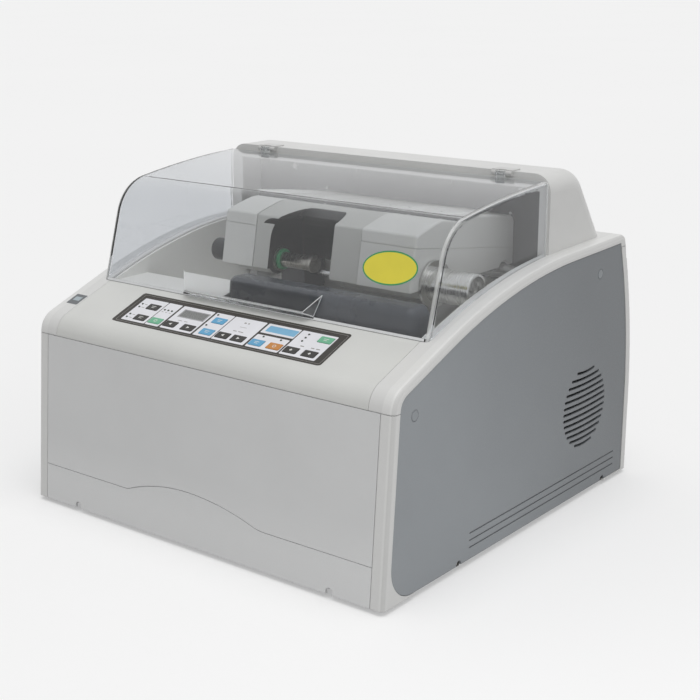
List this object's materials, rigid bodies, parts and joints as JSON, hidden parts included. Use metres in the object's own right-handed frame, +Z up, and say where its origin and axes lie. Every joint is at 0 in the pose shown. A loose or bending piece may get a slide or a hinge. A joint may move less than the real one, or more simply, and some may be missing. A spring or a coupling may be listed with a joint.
{
  "type": "optical lens edger",
  "caption": "Bench-top optical lens edger: wedge-shaped casing with a sloping keypad deck and a clear hinged lid over a lens-holding carriage head and grinding wheels",
  "frame": {"origin": "centre of the overall footprint, on the surface the rubber feet stand on", "axes": "+X to the operator's right, +Y from the keypad towards the rear panel, +Z up"},
  "size_m": [0.5, 0.503, 0.3852],
  "materials": {
    "casing_white": "fine-textured off-white moulding",
    "deck_grey": "fine-textured light grey moulding",
    "front_grey": "fine-textured light grey moulding",
    "side_grey": "textured grey powder coat",
    "cap_grey": "smooth grey plug",
    "tray_steel": "zinc-plated sheet",
    "foot_rubber": "moulded black rubber",
    "bulkhead_dark": "dark satin paint",
    "tub_beige": "smooth beige moulding",
    "guard_blue": "smooth dark blue-grey moulding",
    "overlay_film": "dark satin film with pale printed fields",
    "board_green": "solder-masked board",
    "display_grey": "smoked window",
    "motor_black": "black satin paint",
    "cast_grey": "as-cast alloy",
    "bearing_steel": "ground",
    "ground_steel": "ground and polished",
    "hinge_steel": "satin plated",
    "belt_rubber": "ribbed black rubber",
    "lid_clear": "clear acrylic with a faint blue tint",
    "head_grey": "cast, painted warm grey",
    "head_cover": "fine-textured warm grey moulding",
    "chuck_brass": "turned",
    "knob_steel": "turned and polished",
    "fitting_black": "black moulding",
    "wheel_diamond": "coarse diamond grit in metal bond",
    "wheel_bond": "fine diamond grit in metal bond",
    "pulley_alloy": "turned",
    "key_dark": "satin key",
    "key_green": "satin key",
    "key_blue": "satin key",
    "key_orange": "satin key"
  },
  "bodies": {
    "root": {"base_tray": "tray_steel", "rubber_feet": "foot_rubber", "front_cover": "front_grey", "front_skirt": "front_grey", "control_deck": "deck_grey", "top_cover": "casing_white", "corner_post_left": "casing_white", "corner_post_right": "casing_white", "side_panel_left": "side_grey", "side_panel_right": "side_grey", "screw_caps": "cap_grey", "rear_panel": "casing_white", "rear_bulkhead": "bulkhead_dark", "chamber_tub": "tub_beige", "splash_guard": "guard_blue", "keypad_overlay": "overlay_film", "keypad_board": "board_green", "display_window": "display_grey", "wheel_motor": "motor_black", "spindle_posts": "cast_grey", "spindle_bearings": "bearing_steel", "carriage_shaft": "ground_steel", "shaft_brackets": "cast_grey", "traverse_motor": "motor_black", "power_supply": "tray_steel", "main_board": "board_green", "power_inlet": "fitting_black", "fan_frame": "fitting_black", "lid_hinges": "hinge_steel", "drive_belt": "belt_rubber"},
    "lid": {"lid": "lid_clear"},
    "carriage": {"carriage_sleeve": "ground_steel"},
    "head": {"head_bridge": "head_grey", "head_cap_left": "head_cover", "head_cap_right": "head_cover"},
    "left_spindle": {"left_chuck": "chuck_brass", "former_knob": "fitting_black"},
    "quill": {"clamp_quill": "ground_steel"},
    "right_spindle": {"right_chuck": "ground_steel"},
    "clamp_handle": {"clamp_knob": "knob_steel"},
    "wheels": {"wheel_spindle": "ground_steel", "rough_wheel": "wheel_diamond", "finish_wheel": "wheel_bond"},
    "motor_drive": {"motor_pulley": "pulley_alloy"},
    "fan": {"fan_rotor": "fitting_black"},
    "rocker": {"power_switch": "fitting_black"},
    "key_lens_type": {"key_lens_type": "key_dark"},
    "key_frame_type": {"key_frame_type": "key_dark"},
    "key_start": {"key_start": "key_green"},
    "key_size_down": {"key_size_down": "key_dark"},
    "key_size_up": {"key_size_up": "key_dark"},
    "key_bevel": {"key_bevel": "key_blue"},
    "key_polish": {"key_polish": "key_blue"},
    "key_shift_left": {"key_shift_left": "key_dark"},
    "key_shift_right": {"key_shift_right": "key_dark"},
    "key_rinse": {"key_rinse": "key_blue"},
    "key_stop": {"key_stop": "key_orange"},
    "key_clamp": {"key_clamp": "key_green"},
    "key_pressure_down": {"key_pressure_down": "key_dark"},
    "key_pressure_up": {"key_pressure_up": "key_dark"}
  },
  "joints": [
    {"name": "lid_hinge", "type": "hinge", "parent": "root", "child": "lid", "pos_m": [0, 0.0717, 0.3816], "axis": [-1, 0, 0], "range_deg": [0, 75]},
    {"name": "carriage_slide", "type": "slide", "parent": "root", "child": "carriage", "axis": [1, 0, 0], "range_m": [-0.038, 0.002]},
    {"name": "head_swing", "type": "hinge", "parent": "carriage", "child": "head", "pos_m": [0, 0.0935, 0.267], "axis": [1, 0, 0], "range_deg": [0, 15]},
    {"name": "left_chuck_spin", "type": "hinge", "parent": "head", "child": "left_spindle", "pos_m": [-0.05, -0.0445, 0.277], "axis": [1, 0, 0], "continuous": true},
    {"name": "clamp_knob_turn", "type": "hinge", "parent": "head", "child": "clamp_handle", "pos_m": [0.19, -0.0445, 0.277], "axis": [-1, 0, 0], "range_deg": [0, 720]},
    {"name": "quill_slide", "type": "slide", "parent": "head", "child": "quill", "axis": [-1, 0, 0], "range_m": [0, 0.022]},
    {"name": "right_chuck_spin", "type": "hinge", "parent": "quill", "child": "right_spindle", "pos_m": [0.1, -0.0445, 0.277], "axis": [1, 0, 0], "continuous": true},
    {"name": "wheel_spin", "type": "hinge", "parent": "root", "child": "wheels", "pos_m": [0, -0.0565, 0.173], "axis": [1, 0, 0], "continuous": true},
    {"name": "motor_spin", "type": "hinge", "parent": "root", "child": "motor_drive", "pos_m": [-0.113, 0.0785, 0.085], "axis": [1, 0, 0], "continuous": true},
    {"name": "fan_spin", "type": "hinge", "parent": "root", "child": "fan", "pos_m": [0.234, 0.137, 0.1125], "axis": [1, 0, 0], "continuous": true},
    {"name": "rocker_tilt", "type": "hinge", "parent": "root", "child": "rocker", "pos_m": [-0.15, 0.245, 0.08], "axis": [-1, 0, 0], "range_deg": [0, 20]},
    {"name": "key_lens_type_press", "type": "slide", "parent": "root", "child": "key_lens_type", "axis": [0, 0.3584, -0.9336], "range_m": [0, 0.0005], "stiffness_N_per_m": 400, "springref_m": -0.0003},
    {"name": "key_frame_type_press", "type": "slide", "parent": "root", "child": "key_frame_type", "axis": [0, 0.3584, -0.9336], "range_m": [0, 0.0005], "stiffness_N_per_m": 400, "springref_m": -0.0003},
    {"name": "key_start_press", "type": "slide", "parent": "root", "child": "key_start", "axis": [0, 0.3584, -0.9336], "range_m": [0, 0.0005], "stiffness_N_per_m": 400, "springref_m": -0.0003},
    {"name": "key_size_down_press", "type": "slide", "parent": "root", "child": "key_size_down", "axis": [0, 0.3584, -0.9336], "range_m": [0, 0.0005], "stiffness_N_per_m": 400, "springref_m": -0.0003},
    {"name": "key_size_up_press", "type": "slide", "parent": "root", "child": "key_size_up", "axis": [0, 0.3584, -0.9336], "range_m": [0, 0.0005], "stiffness_N_per_m": 400, "springref_m": -0.0003},
    {"name": "key_bevel_press", "type": "slide", "parent": "root", "child": "key_bevel", "axis": [0, 0.3584, -0.9336], "range_m": [0, 0.0005], "stiffness_N_per_m": 400, "springref_m": -0.0003},
    {"name": "key_polish_press", "type": "slide", "parent": "root", "child": "key_polish", "axis": [0, 0.3584, -0.9336], "range_m": [0, 0.0005], "stiffness_N_per_m": 400, "springref_m": -0.0003},
    {"name": "key_shift_left_press", "type": "slide", "parent": "root", "child": "key_shift_left", "axis": [0, 0.3584, -0.9336], "range_m": [0, 0.0005], "stiffness_N_per_m": 400, "springref_m": -0.0003},
    {"name": "key_shift_right_press", "type": "slide", "parent": "root", "child": "key_shift_right", "axis": [0, 0.3584, -0.9336], "range_m": [0, 0.0005], "stiffness_N_per_m": 400, "springref_m": -0.0003},
    {"name": "key_rinse_press", "type": "slide", "parent": "root", "child": "key_rinse", "axis": [0, 0.3584, -0.9336], "range_m": [0, 0.0005], "stiffness_N_per_m": 400, "springref_m": -0.0003},
    {"name": "key_stop_press", "type": "slide", "parent": "root", "child": "key_stop", "axis": [0, 0.3584, -0.9336], "range_m": [0, 0.0005], "stiffness_N_per_m": 400, "springref_m": -0.0003},
    {"name": "key_clamp_press", "type": "slide", "parent": "root", "child": "key_clamp", "axis": [0, 0.3584, -0.9336], "range_m": [0, 0.0005], "stiffness_N_per_m": 400, "springref_m": -0.0003},
    {"name": "key_pressure_down_press", "type": "slide", "parent": "root", "child": "key_pressure_down", "axis": [0, 0.3584, -0.9336], "range_m": [0, 0.0005], "stiffness_N_per_m": 400, "springref_m": -0.0003},
    {"name": "key_pressure_up_press", "type": "slide", "parent": "root", "child": "key_pressure_up", "axis": [0, 0.3584, -0.9336], "range_m": [0, 0.0005], "stiffness_N_per_m": 400, "springref_m": -0.0003}
  ],
  "couplings": [
    {"joint": "quill_slide", "follows": "clamp_knob_turn", "m_per_rad": 0.0017507},
    {"joint": "right_chuck_spin", "follows": "left_chuck_spin", "ratio": 1},
    {"joint": "motor_spin", "follows": "wheel_spin", "ratio": 0.8}
  ]
}
